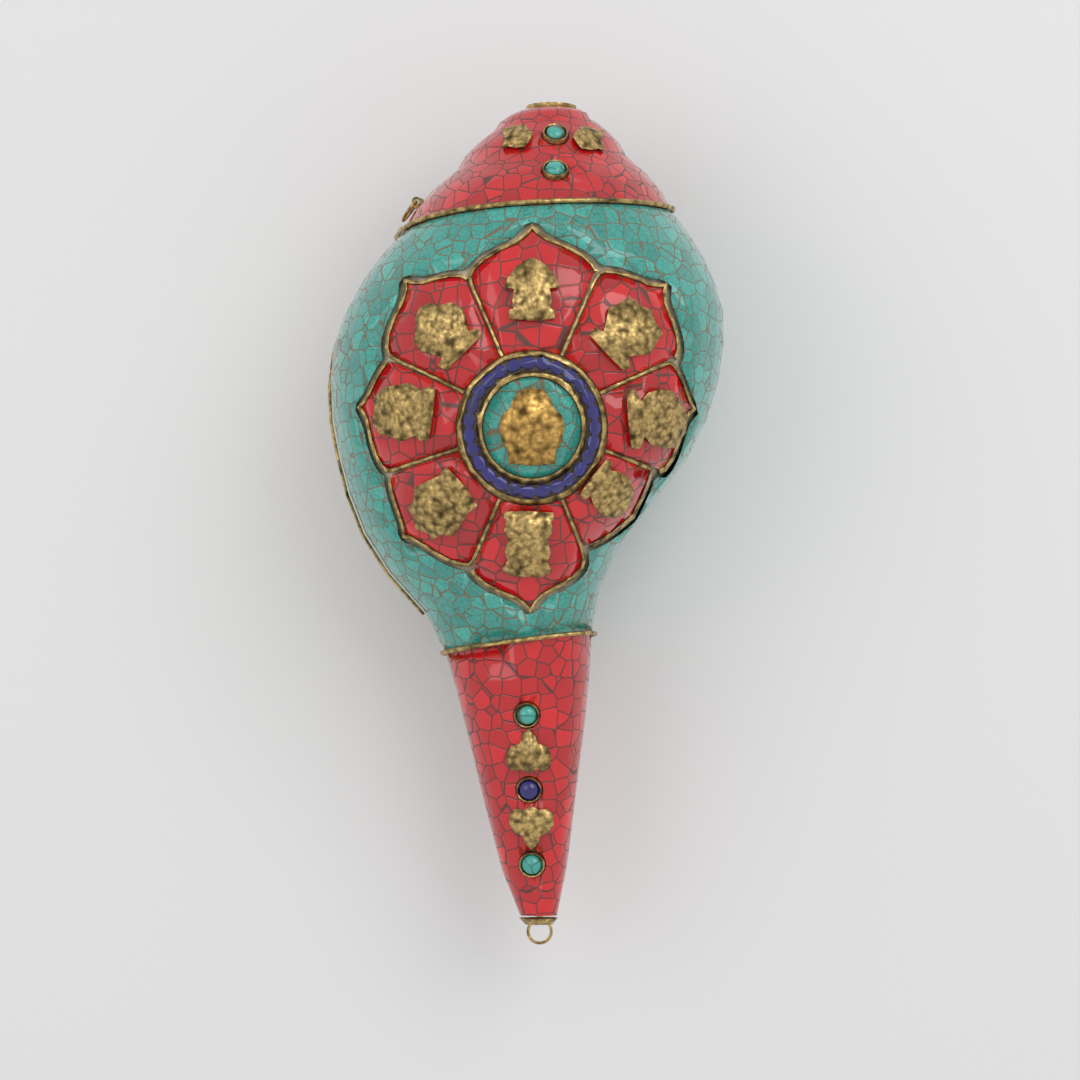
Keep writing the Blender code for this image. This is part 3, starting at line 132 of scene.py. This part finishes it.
def mixed(tree, mask, first, second):
    """Colour mix by a mask."""
    node = tree.nodes.new("ShaderNodeMix")
    node.data_type = "RGBA"
    tree.links.new(mask, node.inputs[0])
    for socket, value in ((node.inputs[6], first), (node.inputs[7], second)):
        if isinstance(value, tuple):
            socket.default_value = (*value, 1)
        else:
            tree.links.new(value, socket)
    return node.outputs[2]


def shade(colour, factor):
    """Colour made lighter or darker."""
    return tuple(min(part * factor, 1.0) for part in colour)


def stone_material(name, colour, tile, veins, grout):
    """Polished stone tiles of one colour, with grout between them and dark veins in them."""
    material, tree, shader = new_material(name)
    place = tree.nodes.new("ShaderNodeTexCoord").outputs["Object"]
    cells = add_node(tree, "ShaderNodeTexVoronoi", feature="F1", scale=1 / tile, randomness=TILE_SPREAD)
    edges = add_node(tree, "ShaderNodeTexVoronoi", feature="DISTANCE_TO_EDGE", scale=1 / tile,
                     randomness=TILE_SPREAD)
    web = add_node(tree, "ShaderNodeTexVoronoi", feature="DISTANCE_TO_EDGE", scale=2.6 / tile)
    cloud = add_node(tree, "ShaderNodeTexNoise", scale=0.7 / tile, detail=6.0)
    for node in (cells, edges, web, cloud):
        tree.links.new(place, node.inputs["Vector"])
    tone = ramp(tree, cells.outputs["Color"], 0.1, 0.9, shade(colour, 0.55), shade(colour, 1.5))
    clouded = mixed(tree, cloud.outputs["Fac"], tone, colour)
    vein = ramp(tree, web.outputs["Distance"], 0.0, 0.05, (veins,) * 3, CLEAR)
    veined = mixed(tree, vein, clouded, shade(colour, 0.18))
    joint = ramp(tree, edges.outputs["Distance"], 0.02, 0.045, FULL, CLEAR)
    tree.links.new(mixed(tree, joint, veined, grout), shader.inputs["Base Color"])
    rough = ramp(tree, edges.outputs["Distance"], 0.02, 0.05, (0.6,) * 3, (0.12,) * 3)
    tree.links.new(rough, shader.inputs["Roughness"])
    height = ramp(tree, edges.outputs["Distance"], 0.0, 0.08, CLEAR, FULL)
    bump = add_node(tree, "ShaderNodeBump", strength=0.5, distance=0.0002)
    tree.links.new(height, bump.inputs["Height"])
    tree.links.new(bump.outputs["Normal"], shader.inputs["Normal"])
    shader.inputs["Coat Weight"].default_value = COAT_WEIGHT
    shader.inputs["Coat Roughness"].default_value = COAT_ROUGHNESS
    return material


def metal_material(name, colour, roughness, pitch):
    """Cast metal with worn, uneven tone and a fine cast grain, and painted shade that darkens the recesses
    of its bump pattern.
    """
    material, tree, shader = new_material(name)
    place = tree.nodes.new("ShaderNodeTexCoord").outputs["Object"]
    grain = add_node(tree, "ShaderNodeTexNoise", scale=1 / pitch, detail=5.0)
    scroll = add_node(tree, "ShaderNodeTexVoronoi", feature="SMOOTH_F1", scale=0.6 / pitch)
    for node in (grain, scroll):
        tree.links.new(place, node.inputs["Vector"])
    worn = ramp(tree, grain.outputs["Fac"], 0.3, 0.7, shade(colour, 0.45), shade(colour, 1.25))
    # painted shade: where the bump pattern sinks into its recesses, the colour is darkened towards 0.12 of
    # the metal colour
    recess_shade = ramp(tree, scroll.outputs["Distance"], 0.35, 0.75, CLEAR, FULL)
    tree.links.new(mixed(tree, recess_shade, worn, shade(colour, 0.12)), shader.inputs["Base Color"])
    tree.links.new(ramp(tree, grain.outputs["Fac"], 0.3, 0.7, (roughness + 0.2,) * 3, (roughness,) * 3),
                   shader.inputs["Roughness"])
    bump = add_node(tree, "ShaderNodeBump", strength=0.7, distance=0.0004)
    bump.invert = True
    tree.links.new(scroll.outputs["Distance"], bump.inputs["Height"])
    tree.links.new(bump.outputs["Normal"], shader.inputs["Normal"])
    shader.inputs["Metallic"].default_value = 1.0
    return material


def shell_material(name, colour):
    """Bare shell with soft growth bands."""
    material, tree, shader = new_material(name)
    place = tree.nodes.new("ShaderNodeTexCoord").outputs["Object"]
    bands = add_node(tree, "ShaderNodeTexWave", scale=60.0, distortion=6.0, detail=4.0)
    tree.links.new(place, bands.inputs["Vector"])
    tree.links.new(ramp(tree, bands.outputs["Fac"], 0.2, 0.9, shade(colour, 0.75), shade(colour, 1.1)),
                   shader.inputs["Base Color"])
    shader.inputs["Roughness"].default_value = 0.4
    bump = add_node(tree, "ShaderNodeBump", strength=0.3, distance=0.0003)
    tree.links.new(bands.outputs["Fac"], bump.inputs["Height"])
    tree.links.new(bump.outputs["Normal"], shader.inputs["Normal"])
    return material


def deselect():
    """Nothing selected."""
    bpy.ops.object.select_all(action="DESELECT")


def smooth_copy(node, material):
    """Merged and smoothly shaded copy of a CAD node that stands for it."""
    source = frame["nodes"][node]
    piece = bpy.data.objects.new(f"{node}_finish", source.data.copy())
    bpy.context.scene.collection.objects.link(piece)
    deselect()
    piece.select_set(True)
    bpy.context.view_layer.objects.active = piece
    bpy.ops.object.mode_set(mode="EDIT")
    bpy.ops.mesh.select_all(action="SELECT")
    bpy.ops.mesh.remove_doubles(threshold=MERGE_DISTANCE)
    bpy.ops.object.mode_set(mode="OBJECT")
    bpy.ops.object.shade_smooth_by_angle(angle=SMOOTH_ANGLE)
    piece.data.materials.clear()
    piece.data.materials.append(material)
    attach(piece, BODY_OF[node])
    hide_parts(node)
    return piece


def nodes_like(*starts):
    """CAD nodes whose names start in one of the given ways."""
    return sorted(node for node in frame["nodes"] if node.startswith(starts))


class TRUMPET_OT_mosaic(bpy.types.Operator):
    """Finish the coral and turquoise tile skins"""

    bl_idname = "trumpet.mosaic"
    bl_label = "Mosaic skins"

    def execute(self, context):
        setting = looks()
        coral = stone_material("coral_tiles", tuple(setting.coral), setting.tile, 0.0, (0.10, 0.02, 0.015))
        petal = stone_material("petal_tiles", tuple(setting.coral), setting.tile * 1.2, 0.0,
                               (0.12, 0.03, 0.02))
        turquoise = stone_material("turquoise_tiles", tuple(setting.turquoise), setting.tile, 0.7,
                                   (0.16, 0.13, 0.07))
        for node in ("spire_mosaic", "canal_mosaic"):
            smooth_copy(node, coral)
        for number in range(1, 9):
            smooth_copy(f"petal_{number}", petal)
        for node in ("body_mosaic", "medallion_disc"):
            smooth_copy(node, turquoise)
        return {"FINISHED"}


class TRUMPET_OT_metal(bpy.types.Operator):
    """Finish the brass wires, castings, bezels and rings, and the gilt figure"""

    bl_idname = "trumpet.metal"
    bl_label = "Metalwork"

    def execute(self, context):
        setting = looks()
        plain = metal_material("brass_wire", tuple(setting.brass), 0.28, 0.0014)
        cast = metal_material("brass_casting", tuple(setting.brass), 0.32, 0.0011)
        gilt = metal_material("gilt_casting", tuple(setting.gilt), 0.30, 0.0013)
        wires = nodes_like("petal_wire", "suture_wire", "canal_wire", "lip_wire", "inner_ring", "outer_ring",
                           "tip_cap", "tail_ring", "shoulder", "mouthpiece")
        castings = [node for node in frame["nodes"] if SLOT_OF[node] == "brass" and node not in wires]
        for node in wires:
            smooth_copy(node, plain)
        for node in castings:
            smooth_copy(node, cast)
        smooth_copy("seated_figure", gilt)
        return {"FINISHED"}


class TRUMPET_OT_stones(bpy.types.Operator):
    """Finish the lapis beads, the cabochons and the bare shell"""

    bl_idname = "trumpet.stones"
    bl_label = "Stones, beads and shell"

    def execute(self, context):
        setting = looks()
        lapis = stone_material("lapis_stone", tuple(setting.lapis), PLAIN_STONE, 0.3, (0.02, 0.02, 0.10))
        turquoise = stone_material("turquoise_stone", tuple(setting.turquoise), PLAIN_STONE, 0.7,
                                   (0.05, 0.06, 0.04))
        shell = shell_material("bare_shell", tuple(setting.shell))
        for node in nodes_like("canal_cabochon", "spire_cabochon"):
            smooth_copy(node, lapis if SLOT_OF[node] == "lapis" else turquoise)
        smooth_copy("shell_core", shell)
        smooth_copy("lapis_bead_ring", lapis)
        return {"FINISHED"}


class TRUMPET_OT_stage(bpy.types.Operator):
    """Pale floor, soft lights and the camera"""

    bl_idname = "trumpet.stage"
    bl_label = "Stage"

    def execute(self, context):
        deselect()
        bpy.ops.mesh.primitive_plane_add(size=FLOOR_SIZE, location=(0, 0, -FLOOR_DROP))
        floor = bpy.context.object
        floor.name = "floor"
        material, _, shader = new_material("pale_floor")
        shader.inputs["Base Color"].default_value = (*FLOOR_COLOUR, 1)
        shader.inputs["Roughness"].default_value = 0.9
        floor.data.materials.append(material)
        world = bpy.data.worlds.new("soft_room")
        world.use_nodes = True
        world.node_tree.nodes["Background"].inputs["Color"].default_value = (1, 1, 1, 1)
        world.node_tree.nodes["Background"].inputs["Strength"].default_value = ROOM_LIGHT
        bpy.context.scene.world = world
        for name, place, size, power in LAMPS:
            bpy.ops.object.light_add(type="AREA", location=place)
            lamp = bpy.context.object
            lamp.name = f"{name}_light"
            lamp.data.size = size
            lamp.data.energy = power
            lamp.rotation_euler = (CAMERA_TARGET - Vector(place)).to_track_quat("-Z", "Y").to_euler()
        away = Vector((0, -cos(CAMERA_ELEVATION), sin(CAMERA_ELEVATION)))
        bpy.ops.object.camera_add(location=CAMERA_TARGET + away * CAMERA_DISTANCE,
                                  rotation=(pi / 2 - CAMERA_ELEVATION, 0, 0))
        camera = bpy.context.object
        camera.data.sensor_width = SENSOR_WIDTH
        camera.data.lens = SENSOR_WIDTH * CAMERA_DISTANCE / FRAME_WIDTH
        bpy.context.scene.camera = camera
        bpy.context.scene.view_settings.view_transform = "Standard"
        return {"FINISHED"}


class TRUMPET_PT_panel(bpy.types.Panel):
    """Panel that lists the steps"""

    bl_idname = "TRUMPET_PT_panel"
    bl_label = "Conch trumpet"
    bl_space_type = "VIEW_3D"
    bl_region_type = "UI"
    bl_category = "Conch"

    def draw(self, context):
        for setting in ("coral", "turquoise", "lapis", "brass", "gilt", "shell", "tile"):
            self.layout.prop(looks(), setting)
        for step in STEPS:
            self.layout.operator(step.bl_idname)


STEPS = (TRUMPET_OT_stage, TRUMPET_OT_mosaic, TRUMPET_OT_metal, TRUMPET_OT_stones)
CLASSES = (TrumpetLooks, *STEPS, TRUMPET_PT_panel)


def register():
    """Register the classes and the settings."""
    for item in CLASSES:
        bpy.utils.register_class(item)
    bpy.types.Scene.trumpet_looks = PointerProperty(type=TrumpetLooks)


def unregister():
    """Remove the settings and the classes."""
    del bpy.types.Scene.trumpet_looks
    for item in reversed(CLASSES):
        bpy.utils.unregister_class(item)


def main():
    """Dress the trumpet."""
    register()
    bpy.ops.trumpet.stage()
    bpy.ops.trumpet.mosaic()
    bpy.ops.trumpet.metal()
    bpy.ops.trumpet.stones()


if __name__ == "__main__":
    main()
